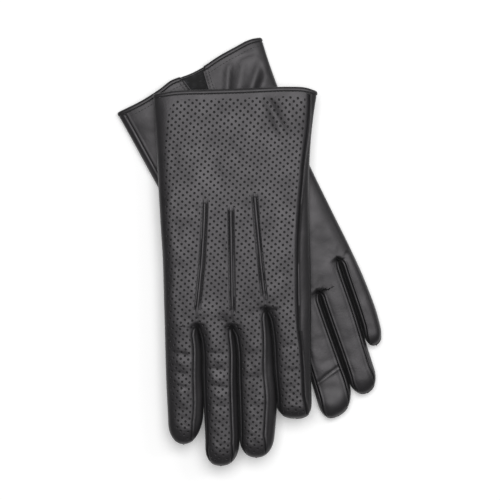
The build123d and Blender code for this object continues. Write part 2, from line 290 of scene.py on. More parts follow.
# Folds and wrinkles of each skin: (x0, v0, x1, v1, width, depth) in mm, a negative depth is a valley
folds = {
    ("left", "back"): [
        (19, 2, 34, 32, 3.4, -1.15), (29, 2, 42, 27, 4.0, 0.3), (11, 2, 24, 32, 5.0, 0.25),
        (-10, 6, -20, 62, 6.0, -0.3), (-32, 14, -36, 60, 6.0, 0.25), (10, 20, 4, 60, 5.0, 0.3),
        (18, 40, 14, 66, 4.0, -0.25),
        (-24.7, 154, -31, 147, 1.8, -0.35), (-24.7, 154, -19, 146, 1.8, -0.35), (-25, 153, -25, 145, 1.5, -0.4),
        (-2.6, 155, -9.5, 149, 1.9, -0.35), (-2.6, 155, 3.8, 148, 1.8, -0.3), (-2.4, 154, -2.1, 146, 1.5, -0.4),
        (20.5, 143, 14, 138, 1.7, -0.3), (20.5, 143, 26, 136, 1.7, -0.35), (20.5, 143, 30, 142, 1.7, -0.3),
        (20.2, 142, 19.6, 135, 1.5, -0.4),
        (-12, 148, -1, 152, 4.0, -0.5), (8, 146, 16, 143, 4.0, -0.35),
        (-44, 170, -28, 173, 1.8, -0.4), (-43, 176, -28, 178, 1.8, 0.25), (-44, 183, -30, 185, 1.9, -0.35),
        (-44, 192, -30, 194, 2.2, -0.25), (-44, 206, -29, 208, 2.5, -0.2),
        (-21, 170, -4, 172, 1.7, -0.4), (-20, 175, -4, 176, 1.6, 0.25), (-20, 181, -6, 182, 1.6, -0.45),
        (-20, 187, -5, 188, 1.6, 0.2), (-19, 192, -3, 194, 1.7, -0.4), (-18, 198, -5, 199, 1.8, 0.15),
        (-20, 204, -4, 206, 2.2, -0.25), (-18, 216, -4, 217, 2.4, -0.2),
        (1, 172, 18, 170, 2.2, -0.25), (3, 188, 20, 186, 2.4, -0.25), (5, 205, 22, 206, 2.4, -0.2),
        (27, 168, 42, 165, 2.2, -0.25), (29, 184, 44, 181, 2.4, -0.22),
        (-50, 90, -30, 84, 3.0, -0.35), (44, 92, 26, 84, 3.0, -0.3), (-46, 118, -34, 112, 2.5, -0.25),
        (38, 120, 26, 118, 3.0, -0.25),
    ],
    ("left", "palm"): [(-30, 60, 30, 50, 4, -0.3), (-30, 90, 20, 84, 4, -0.3)],
    ("right", "palm"): [
        (14, 26, 28, 5, 2.4, -1.3), (21, 28, 38, 7, 2.6, 0.8), (25, 33, 48, 13, 3.2, -1.4),
        (36, 30, 50, 22, 3.0, 0.6), (33, 4, 46, 8, 2.6, -0.7), (45, 10, 49, 34, 3.0, 0.4),
        (-46, 40, -20, 30, 4, -0.3), (-46, 14, -24, 24, 4, 0.3),
        (30, 60, 44, 54, 3.0, -0.3), (26, 78, 43, 72, 3.4, -0.25), (28, 106, 42, 96, 3.4, -0.3),
        (14, 128, 38, 122, 4.0, 0.25),
        (9.4, 165, 3, 158, 1.9, -0.25), (9.4, 165, 16, 158, 1.9, -0.25), (31.4, 152, 26, 145, 1.9, -0.25),
        (31.4, 152, 36, 145, 1.9, -0.2),
        (8, 184, 26, 187, 3.2, -0.16), (6, 202, 24, 206, 3.2, -0.15), (28, 178, 39, 180, 3.0, -0.15),
        (-10, 192, 4, 196, 2.8, -0.2), (-12, 208, 2, 211, 2.4, -0.3),
    ],
    ("right", "back"): [(-30, 40, 30, 30, 4, -0.2)],
}


def pointDistance(name, n, x, v):
    # how far across from a point's line, and how far along it from 0 to 1
    (x0, v0), _, (x1, v1) = points[name][n]
    t = np.clip((v - v0) / (v1 - v0), -0.2, 1.2)
    px, _ = pointPath(name, n, t)
    return x - px, t


def relief(name, side, x, v):
    # everything soft that a skin does: unevenness, folds, and the grooves beside its points
    seed = {"leftback": 3, "leftpalm": 5, "rightpalm": 8, "rightback": 11}[name + side]
    total = 0.26 * ripple(x, v, 34, seed) + 0.09 * ripple(x, v, 11, seed + 1)
    for line in folds[name, side]:
        total = total + crease(x, v, *line)
    if side == "back":
        total = total + 0.06 * ripple(x, v, 5.5, seed + 2) * ease((v - 150) / 25)
        for n in range(3):
            across, t = pointDistance(name, n, x, v)
            live = ease((t + 0.03) / 0.06) * ease((1.03 - t) / 0.06)
            beside = (np.abs(across) - point["grooveAt"]) / point["grooveWidth"]
            total = total - point["groove"] * live * np.exp(-beside ** 2)
            total = total + 0.25 * live * np.exp(-(across / 5.0) ** 2)
    return total


def palmEdges(name, v):
    g = gloves[name]
    return through(tuple(zip(g["edgeV"], g["leftEdge"])), v), through(tuple(zip(g["edgeV"], g["rightEdge"])), v)


def tipShrink(name, k, v):
    # a fingertip narrows as a superellipse over its last few mm: width and thickness factors
    f = gloves[name]["fingers"][fingerNames[k]]
    q = np.clip((v - (f["tip"] - f["round"])) / f["round"], 0, 1)
    square = f.get("square", 2.2)
    return np.maximum(1 - q ** square, 0) ** (1 / square), np.maximum(1 - q ** 2.6, 0) ** 0.5


def fingerEdges(name, k, v):
    f = gloves[name]["fingers"][fingerNames[k]]
    left, right = through(f["left"], v), through(f["right"], v)
    wide, _ = tipShrink(name, k, v)
    middle, half = (left + right) / 2, (right - left) / 2 * wide
    return middle - half, middle + half


def rootLine(name, side, k, xi):
    # where the palm's skin ends and a finger's begins, straight from crotch to crotch
    ends = gloves[name]["rootV"][side]
    return ends[k] + (ends[k + 1] - ends[k]) * (xi + 1) / 2


def laneEdges(name, side, k, v):
    # a lane is a strip of the palm that runs on as a finger
    g = gloves[name]
    splits = g[side + "Splits"]
    fingerLeft, fingerRight = fingerEdges(name, k, v)
    outerLeft, outerRight = palmEdges(name, v)
    if k == 0:
        left = np.where(v < 150.5, outerLeft, fingerLeft)
    else:
        left = np.where(v <= splits[k - 1][-1][0], through(splits[k - 1], v), fingerLeft)
    if k == 3:
        right = np.where(v < 147, outerRight, fingerRight)
    else:
        right = np.where(v <= splits[k][-1][0], through(splits[k], v), fingerRight)
    return left, right


def flatProfile(left, right, x, v):
    # the flattened sleeve's section: an arch at each fold, wider on the thumb side near the cuff, and a low crown
    toLeft = (x - left) / (form["edgeRound"] + form["cuffRound"] * ease((45 - v) / 45))
    toRight = (right - x) / form["edgeRound"]
    crown = 0.94 + 0.06 * (1 - (2 * (x - left) / (right - left) - 1) ** 2)
    return arch(np.minimum(toLeft, toRight)) * crown


def skin(name, side, k, xi, v, closed=False):
    # x and z of one skin at xi, -1 to 1 across lane k. z is the mid height plus or minus half the
    # thickness, times a profile that passes from the flat palm to a finger's round back.
    left, right = fingerEdges(name, k, v) if closed else laneEdges(name, side, k, v)
    x = (left + right) / 2 + (right - left) / 2 * xi
    palmLeft, palmRight = palmEdges(name, v)
    flat = flatProfile(palmLeft, palmRight, x, v)
    square = np.where((k == 0) & (xi < 0), 2.1, 3.0)  # the index finger's folded side is rounder
    roundBack = np.maximum(1 - np.abs(xi) ** square, 0) ** (1 / 2.3)
    ends = gloves[name]["rootV"][side]
    run = form["grooveRun"][side]
    leftM = ease((v - ends[k] + run) / run) ** 2.2
    rightM = ease((v - ends[k + 1] + run) / run) ** 2.2
    toRight = ease((xi + 0.35) / 0.7)
    m = leftM * (1 - toRight) + rightM * toRight
    if closed:
        m = np.ones_like(m)
    profile = (1 - m) * flat + m * roundBack
    _, thin = tipShrink(name, k, v)
    height = heightAt(v)
    base = placing[name]["base"]
    up = upOf(name, side)
    soft = relief(name, side, x, v) * np.clip(profile, 0, 1) ** 1.5 * thin * ease((v - 2) / 7)
    if up < 0:  # what it lies on keeps this side flat
        soft = -0.4 * np.abs(soft)
    z = base + height / 2 + up * (height / 2 * profile * thin + soft)
    return x, z


def upOf(name, side):
    return 1 if (side == "back") == gloves[name]["backUp"] else -1


def laid(name, x, v, z):
    # glove space to the shared frame, in metres: the cuff's edge drawn to its own curve, a turn and a move
    v = v + through(gloves[name]["hem"], x + 0 * v) * ease(1 - v / form["hemFade"])
    p = placing[name]
    c, s = math.cos(p["turn"]), math.sin(p["turn"])
    return np.stack([p["x"] + c * x + s * v, p["y"] + s * x - c * v, z + 0 * x], -1) / 1000


def meshFrom(name, verts, faces, material, layout=None):
    mesh = bpy.data.meshes.new(name)
    mesh.from_pydata(verts.reshape(-1, 3).tolist(), [], faces.tolist())
    mesh.validate()
    mesh.shade_smooth()
    mesh.set_sharp_from_angle(angle=math.radians(58))
    if layout is not None:
        attribute = mesh.attributes.new("layout", "FLOAT_VECTOR", "POINT")
        attribute.data.foreach_set("vector", layout.astype(np.float32).ravel())
    mesh.materials.append(material)
    piece = bpy.data.objects.new(name, mesh)
    bpy.context.scene.collection.objects.link(piece)
    return piece


def gridFaces(rows, columns, wrap=False):
    # quads of a grid of rows by columns, joined up across its last column if wrap
    index = np.arange(rows * columns).reshape(rows, columns)
    if wrap:
        index = np.hstack([index, index[:, :1]])
    return np.stack([index[:-1, :-1], index[:-1, 1:], index[1:, 1:], index[1:, :-1]], -1).reshape(-1, 4)


def gridNormals(p):
    # cross product of the grid's two directions, unit length
    n = np.cross(np.gradient(p, axis=0), np.gradient(p, axis=1))
    size = np.linalg.norm(n, axis=-1, keepdims=True)
    return n / np.maximum(size, 1e-12)


def wall(name, p, centre, thickness, material, layout=None, lift=0, skip=None):
    # a sheet with a thickness: the grid lifted along its normals, an inner copy, and a rim between them
    n = gridNormals(p)
    outward = np.sign(np.nansum(n * (p - centre))) or 1
    n = n * outward
    outer = p + n * np.asarray(lift)[..., None] / 1000
    inner = outer - n * thickness / 1000
    rows, columns = p.shape[:2]
    faces = gridFaces(rows, columns)
    if outward > 0:
        faces = faces[:, ::-1]
    keep = np.ones(len(faces), bool) if skip is None else ~skip[:-1, :-1].ravel()
    faces = faces[keep]
    count = rows * columns
    edges = np.concatenate([faces[:, [0, 1]], faces[:, [1, 2]], faces[:, [2, 3]], faces[:, [3, 0]]])
    key = edges.min(1) * count + edges.max(1)
    _, first, times = np.unique(key, return_index=True, return_counts=True)
    border = edges[first[times == 1]]
    rim = np.stack([border[:, 1], border[:, 0], border[:, 0] + count, border[:, 1] + count], -1)
    allFaces = np.concatenate([faces, faces[:, ::-1] + count, rim])
    lay = None if layout is None else np.concatenate([layout.reshape(-1, 3)] * 2)
    return meshFrom(name, np.concatenate([outer.reshape(-1, 3), inner.reshape(-1, 3)]), allFaces, material, lay)


def settle(piece, node, body):
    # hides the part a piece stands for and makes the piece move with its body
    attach(piece, body)
    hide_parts(node)


def placeGloves():
    # where each glove lies: the left one from its box, the right one back along its fingers from its hinge
    low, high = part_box("left_cuff_binding")
    joints = {j["name"]: j for j in frame["joints"]}
    ring = joints["right_ring_fold"]
    turn = math.atan2(-ring["axis"][1], -ring["axis"][0])
    hingeX, hingeY = ring["pos_m"][0] * 1000, ring["pos_m"][1] * 1000
    c, s = math.cos(turn), math.sin(turn)
    across, along = 19.3, 168  # the ring finger's hinge in the glove's own space
    return {
        "left": {"turn": 0.0, "x": (low[0] + high[0]) * 500, "y": high[1] * 1000, "base": low[2] * 1000},
        "right": {"turn": turn, "x": hingeX - c * across - s * along, "y": hingeY - s * across + c * along,
                  "base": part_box("right_palm_panel")[0][2] * 1000},
    }, joints


placing, joints = placeGloves()
print("frame read:", placing)


def newMaterial(name):
    # an empty node tree, and the piece's own coordinates in metres
    material = bpy.data.materials.new(name)
    material.use_nodes = True
    tree = material.node_tree
    tree.nodes.clear()
    return material, tree, addNode(tree, "TexCoord").outputs["Object"]


def mixed(tree, factor, first, second):
    # a colour between two others, which are sockets or hex texts
    mix = addNode(tree, "Mix", data_type="RGBA")
    colours = [socket for socket in mix.inputs if socket.type == "RGBA"]
    tree.links.new(factor, mix.inputs["Factor"])
    for socket, source in zip(colours, (first, second)):
        if isinstance(source, str):
            socket.default_value = hexColour(source)
        else:
            tree.links.new(source, socket)
    return next(socket for socket in mix.outputs if socket.type == "RGBA")


def noisy(tree, place, size, detail, rough):
    # noise with patches size mm across
    links = {"Vector": place, "Scale": 1000 / size, "Detail": detail, "Roughness": rough}
    return addNode(tree, "TexNoise", links).outputs["Fac"]


def finished(material, tree, links):
    surface = addNode(tree, "BsdfPrincipled", links)
    addNode(tree, "OutputMaterial", {"Surface": surface.outputs["BSDF"]})
    return material


def latticeDistance(tree, layout, holes):
    # mm to the nearest of two lattices of points, one in the gaps of the other
    size = (holes["across"], holes["along"], 0)
    distances = []
    for shift in (50.0, 50.5):
        steps = {0: layout, 1: (1 / size[0], 1 / size[1], 1), 2: (shift, shift, 0)}
        cells = addNode(tree, "VectorMath", steps, operation="MULTIPLY_ADD")
        within = addNode(tree, "VectorMath", {0: cells.outputs["Vector"]}, operation="FRACTION")
        centred = {0: within.outputs["Vector"], 1: size, 2: (-size[0] / 2, -size[1] / 2, 0)}
        away = addNode(tree, "VectorMath", centred, operation="MULTIPLY_ADD")
        length = addNode(tree, "VectorMath", {0: away.outputs["Vector"]}, operation="LENGTH")
        distances.append(length.outputs["Value"])
    return maths(tree, "MINIMUM", *distances)


def maths(tree, operation, first, second):
    return addNode(tree, "Math", {0: first, 1: second}, operation=operation).outputs["Value"]


def ranged(tree, value, low, high, toLow=0.0, toHigh=1.0, **settings):
    ends = {"Value": value, "From Min": low, "From Max": high, "To Min": toLow, "To Max": toHigh}
    return addNode(tree, "MapRange", ends, **settings).outputs["Result"]


def bumped(tree, height, depth, strength, normal=None):
    # a relief depth mm deep
    links = {"Height": height, "Distance": depth / 1000, "Strength": strength}
    if normal:
        links["Normal"] = normal
    return addNode(tree, "Bump", links).outputs["Normal"]


def leatherMaterial(name, look):
    # Nappa leather, drum-dyed and finished satin: a soft sheen, fine pores and a slow mottle
    material, tree, place = newMaterial(name)
    mottle = noisy(tree, place, 14, 4.0, 0.55)
    cells = {"Vector": place, "Scale": 1000 / look["grain"], "Smoothness": 0.6}
    grain = addNode(tree, "TexVoronoi", cells, feature="SMOOTH_F1").outputs["Distance"]
    pores = noisy(tree, place, 0.9, 3.0, 0.6)
    colour = mixed(tree, mottle, look["dark"], look["light"])
    rough = ranged(tree, mottle, 0.3, 0.7, look["rough"] - 0.05, look["rough"] + 0.07)
    normal = bumped(tree, grain, look["grainDepth"], 0.8)
    normal = bumped(tree, pores, look["poreDepth"], 0.8, normal)
    if look.get("holes"):  # punched dots and a rim that rolls in; each hole is coloured near black, partly the dark lining seen through it and partly painted shade in its depth
        holes = look["holes"]
        radius = holes["radius"]
        layout = addNode(tree, "Attribute", attribute_name="layout").outputs["Vector"]
        slope = {"Vector": layout, "Angle": math.radians(holes["slope"])}
        turned = addNode(tree, "VectorRotate", slope, rotation_type="Z_AXIS").outputs["Vector"]
        parts = addNode(tree, "SeparateXYZ", {"Vector": turned}).outputs
        flat = addNode(tree, "CombineXYZ", {"X": parts["X"], "Y": parts["Y"]}).outputs["Vector"]
        near = latticeDistance(tree, flat, holes)
        margin = ranged(tree, parts["Z"], 0.0, 0.25)
        holeLiningAndShade = maths(tree, "MULTIPLY", ranged(tree, near, radius + 0.1, radius - 0.1), margin)
        rim = ranged(tree, near, radius - 0.25, radius + 0.4, interpolation_type="SMOOTHSTEP")
        dip = maths(tree, "MULTIPLY", maths(tree, "SUBTRACT", rim, 1.0), margin)
        normal = bumped(tree, dip, holes["depth"], 1.0, normal)
        # painted shade: the holes are coloured near black for the lining under them and the shade inside them
        colour = mixed(tree, holeLiningAndShade, colour, "#040404")
        rough = ranged(tree, holeLiningAndShade, 0.0, 1.0, rough, 0.95)
    return finished(material, tree, {
        "Base Color": colour, "Roughness": rough, "Normal": normal, "IOR": 1.48,
        "Specular Tint": hexColour("#fffaff"), "Sheen Weight": look["sheen"], "Sheen Roughness": 0.4,
        "Coat Weight": look["coat"], "Coat Roughness": 0.38})


holeGrid = {"across": 4.9, "along": 4.27, "slope": -6.0, "radius": 0.5, "depth": 0.4}
leather = {"rough": 0.44, "grain": 1.5, "grainDepth": 0.05, "poreDepth": 0.035, "sheen": 0.05, "coat": 0.08}
deep = {"dark": "#0b0b0c", "light": "#121213"}
leathers = {
    # the back: near black, and light enough on its level parts to show the dots
    "punched nappa leather": {"dark": "#0f0f10", "light": "#181719", "holes": holeGrid},
    # the tucks: the same leather pulled tight over a fold, so smoother, and coloured a little lighter than the
    # back as a painted highlight on their raised ridges
    "tucked nappa leather with painted highlight": {"dark": "#111112", "light": "#1b1a1c", "rough": 0.42, "grainDepth": 0.03,
                             "poreDepth": 0.03},
    # the palm: a shade deeper, with a soft satin sheen
    "satin nappa leather": {**deep, "rough": 0.47, "coat": 0.10},
    # the cuff's edge: turned over and pressed, finer in its grain
    "turned nappa leather edge": {**deep, "rough": 0.46, "grain": 1.2, "grainDepth": 0.04,
                                  "poreDepth": 0.03, "coat": 0.12},
    # the touch tips: a thin smooth coating over the grain
    "coated touch leather": {"dark": "#0d0d0e", "light": "#131314", "grain": 1.0, "grainDepth": 0.02,
                             "poreDepth": 0.02, "sheen": 0.0, "coat": 0.2},
}
nappaBack, nappaTuck, nappaPalm, nappaBinding, nappaTouch = (
    leatherMaterial(name, {**leather, **look}) for name, look in leathers.items())


def knitMaterial(name, dark, light, pitch, depth):
    # Knitted or woven polyester yarn: matt, with fine ribs pitch mm apart that catch a little light on their tops
    material, tree, place = newMaterial(name)
    links = {"Vector": place, "Scale": 1000 / pitch / 20, "Distortion": 1.0, "Detail": 1.0}
    waves = [addNode(tree, "TexWave", links, bands_direction=way).outputs["Fac"] for way in "XY"]
    both = maths(tree, "MULTIPLY", *waves)
    return finished(material, tree, {
        "Base Color": mixed(tree, both, dark, light), "Roughness": 0.9, "Normal": bumped(tree, both, depth, 0.9),
        "Sheen Weight": 0.3, "Sheen Roughness": 0.5})


lining = knitMaterial("brushed polyester knit", "#0b0b0c", "#1a1a1c", 0.9, 0.12)
webbing = knitMaterial("elastic rib web", "#101012", "#232326", 0.7, 0.2)
thread = knitMaterial("bonded polyester thread", "#0e0e0f", "#2c2c30", 0.3, 0.05)
print("materials made")


def seamAngle(w, half, sign):
    # a seam w mm in from a finger's side, as the angle whose sine is its place across
    return np.arcsin(np.clip(sign * (1 - w / np.maximum(half, 0.3)), -0.999999, 0.999999))


def halfWidth(name, k, v):
    left, right = fingerEdges(name, k, v)
    return (right - left) / 2


seams = {"tipGap": 2.5, "closeOver": 12, "backOpenOver": 6, "frontOpenOver": 4, "openPower": 0.38}


def closing(name, k, v):
    tip = gloves[name]["fingers"][fingerNames[k]]["tip"]
    return np.sqrt(np.clip((tip - seams["tipGap"] - v) / seams["closeOver"], 0, 1))


def opening(start, over, v):
    return np.clip((v - start) / over, 0, 1) ** seams["openPower"]


def stripWidth(name, k, which, v):
    # how much of the side strip shows past the back seam: it opens at the crotch and closes at the tip
    knots = gloves[name]["fingers"][fingerNames[k]]["strip"][which]
    start = gloves[name]["rootV"]["back"][k + which]
    opened = 1.0 if (k == 3 and which == 1) else opening(start, seams["backOpenOver"], v)
    return through(knots, v) * opened * closing(name, k, v)


def frontWidth(name, k, which, v):
    # how far in from a finger's side its front seam lies
    if k == 0 and which == 0:
        return form["thumbSeam"] * closing(name, k, v)
    start = gloves[name]["rootV"]["palm"][k + which]
    return form["frontSeam"] * opening(start, seams["frontOpenOver"], v) * closing(name, k, v)


quarter = math.pi / 2


def gather(name, parts, rowV, closed=False):
    # joins runs of columns into one grid. A run is (side, lane, start angle, end angle, count), its angles
    # are functions of v, and rowV(side, lane, xi) gives the v of every row. Angle and v depend on each
    # other, so both are found by turns.
    xs, zs, vs, sides = [], [], [], []
    for n, (side, k, start, end, count) in enumerate(parts):
        u = np.linspace(0, 1, count)[(1 if n else 0):]
        v = rowV(side, k, np.sin(quarter * (2 * u - 1)))
        for _ in range(3):
            xi = np.sin(start(v) * (1 - u) + end(v) * u)
            v = rowV(side, k, xi)
        x, z = skin(name, side, k, xi, v, closed)
        xs.append(x)
        zs.append(z)
        vs.append(v)
        sides += [side] * len(u)
    return np.hstack(xs), np.hstack(vs), np.hstack(zs), np.array(sides)


def fixed(value):
    return lambda v: value + 0 * v


def acrossDistances(x, z):
    # length along each row from its first column, and from its last
    step = np.hypot(np.diff(x, axis=1), np.diff(z, axis=1))
    run = np.hstack([np.zeros((len(x), 1)), np.cumsum(step, axis=1)])
    return run, run[:, -1:] - run


def valley(d, depth, width=0.85):
    return -depth * np.exp(-(d / width) ** 2)


def touchRidge(d):
    # a touch tip's first row is drawn down at the seam, with a low ridge past it
    return valley(d - d[:1], 0.25) + 0.3 * np.exp(-((d - d[:1] - 1.4) / 0.9) ** 2)


def piped(d, groove=0.45, ridge=0.34):
    # the edge of a piece at its seam: a narrow valley on the stitch line and a low ridge beside it
    return valley(d, groove, 0.5) + ridge * np.exp(-((d - 1.15) / 0.6) ** 2)


def bodyBlend(piece, name, k):
    # a finger's skin moves with its palm when the finger has no body of its own; otherwise it is left where it
    # lies, attached to nothing
    finger = fingerNames[k]
    body = name + "_" + finger
    if body not in frame["bodies"]:
        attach(piece, name + "_palm")
        return
    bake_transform(piece)


def centreOf(name, x, v):
    # the middle height under each point, which every outer skin faces away from
    middle = placing[name]["base"] + heightAt(v) / 2
    return laid(name, x.mean(1, keepdims=True) + 0 * x, v, middle)


def outerSeamAngle(name):
    def angle(v):
        left, right = laneEdges(name, "back", 3, v)
        half = (right - left) / 2
        return seamAngle(through(gloves[name]["outerSeam"], v), half, 1)
    return angle


def thumbSeamAngle(name):
    def angle(v):
        left, right = laneEdges(name, "palm", 0, v)
        return seamAngle(form["thumbSeam"], (right - left) / 2, -1)
    return angle


panel = {"rows": 190, "laneColumns": 33, "foldColumns": 11, "edgeColumns": 25, "start": 2.6,
         "evenTo": 50.0, "evenShare": 0.34}


def panelRows(name, side):
    # rows evenly spaced up to one line, and then spread out to the roots of the fingers
    q = np.linspace(0, 1, panel["rows"])[:, None]
    def rows(otherSide, k, xi):
        xi = np.where(otherSide == side, xi, -1.0 if k == 0 else 1.0) + 0 * xi
        end = rootLine(name, side, k, np.clip(xi, -1, 1))
        early = panel["start"] + (panel["evenTo"] - panel["start"]) * q / panel["evenShare"]
        late = panel["evenTo"] + (end - panel["evenTo"]) * (q - panel["evenShare"]) / (1 - panel["evenShare"])
        return np.where(q < panel["evenShare"], early, late) + 0 * xi
    return rows


vent = {"end": 34}  # how far the slit runs from the cuff
plain = {"cuff": 5.4, "point": 2.7, "far": 9.0}  # unpunched mm by the cuff's edge and beside a point's line


def holeMask(name, x, v, left, right, tip=None):
    # mm inside the plain margins: positive where the leather is punched
    inside = np.minimum(x - left, right - x)
    inside = np.minimum(inside, v - plain["cuff"])
    for n in range(3):
        across, t = pointDistance(name, n, x, v)
        off = np.where((t > -0.02) & (t < 1.02), np.abs(across) - plain["point"], plain["far"])
        inside = np.minimum(inside, off)
    if tip is not None:
        inside = np.minimum(inside, tip - v)
    return inside


def backPanel(name):
    n = panel["laneColumns"]
    parts = [("palm", 0, thumbSeamAngle(name), fixed(-quarter), panel["foldColumns"])]
    parts += [("back", k, fixed(-quarter), fixed(quarter), n) for k in range(3)]
    parts += [("back", 3, fixed(-quarter), outerSeamAngle(name), n + 8)]
    x, v, z, sides = gather(name, parts, panelRows(name, "back"))
    start, end = acrossDistances(x, z)
    lift = piped(start, 0.4, 0.15) + valley(end, 0.7, 0.8)
    left, right = palmEdges(name, v)
    seam = right - through(gloves[name]["outerSeam"], v)
    band = through(form["plainBand"], v)
    mask = holeMask(name, x, v, left + band, seam - 2.4)
    mask = np.where(sides == "back", mask, -5)
    piece = wall(name + "BackPanel", laid(name, x, v, z), centreOf(name, x, v), form["leather"], nappaBack,
                 np.stack([x, v, mask], -1), lift)
    settle(piece, name + "_back_panel", name + "_palm")


def palmPanel(name):
    n = panel["laneColumns"]
    parts = [("palm", 0, thumbSeamAngle(name), fixed(quarter), n)]
    parts += [("palm", k, fixed(-quarter), fixed(quarter), n) for k in (1, 2, 3)]
    parts += [("back", 3, fixed(quarter), outerSeamAngle(name), panel["edgeColumns"])]
    x, v, z, sides = gather(name, parts, panelRows(name, "palm"))
    start, end = acrossDistances(x, z)
    lift = piped(start) + piped(end, 0.6, 0.55)
    # the vent's edges are turned under and stitched
    ventLeft, ventRight = ventEdges(name, v)
    outside = np.maximum(ventLeft - x, x - ventRight)
    turned = 0.35 * np.exp(-(np.clip(outside, 0, 99) / 2.2) ** 2)
    turned = turned + valley(np.abs(outside - 1.4), 0.3, 0.4) + valley(np.abs(outside - 3.4), 0.3, 0.4)
    lift = lift + np.where((v < vent["end"]) & (outside > -0.01), turned, 0)
    columns = np.zeros(x.shape[1], bool)
    columns[2 * n - 2:3 * n - 3] = True  # lane 2 is the vent
    skip = columns[None, :] & (v < vent["end"])
    piece = wall(name + "PalmPanel", laid(name, x, v, z), centreOf(name, x, v), form["leather"], nappaPalm,
                 None, lift, skip)
    settle(piece, name + "_palm_panel", name + "_palm")


finger = {"rows": 110, "columns": 33, "stripColumns": 13}


def fingerRows(name, k, side, start=None, end=None, rows=None):
    tip = gloves[name]["fingers"][fingerNames[k]]["tip"]
    q = np.linspace(0, 1, rows or finger["rows"])[:, None]
    def rowV(otherSide, lane, xi):
        if start is None:
            edge = -1.0 if k == 0 else 1.0
            first = rootLine(name, side, k, np.clip(np.where(otherSide == side, xi, edge), -1, 1))
        else:
            first = start(xi)
        last = (tip - 0.02) + 0 * xi if end is None else end(xi)
        share = 1 - (1 - q) ** 1.7 if end is None else q
        return first + (last - first) * share
    return rowV


def settleFinger(piece, name, k, suffix):
    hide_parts(f"{name}_{fingerNames[k]}_{suffix}")
    bodyBlend(piece, name, k)


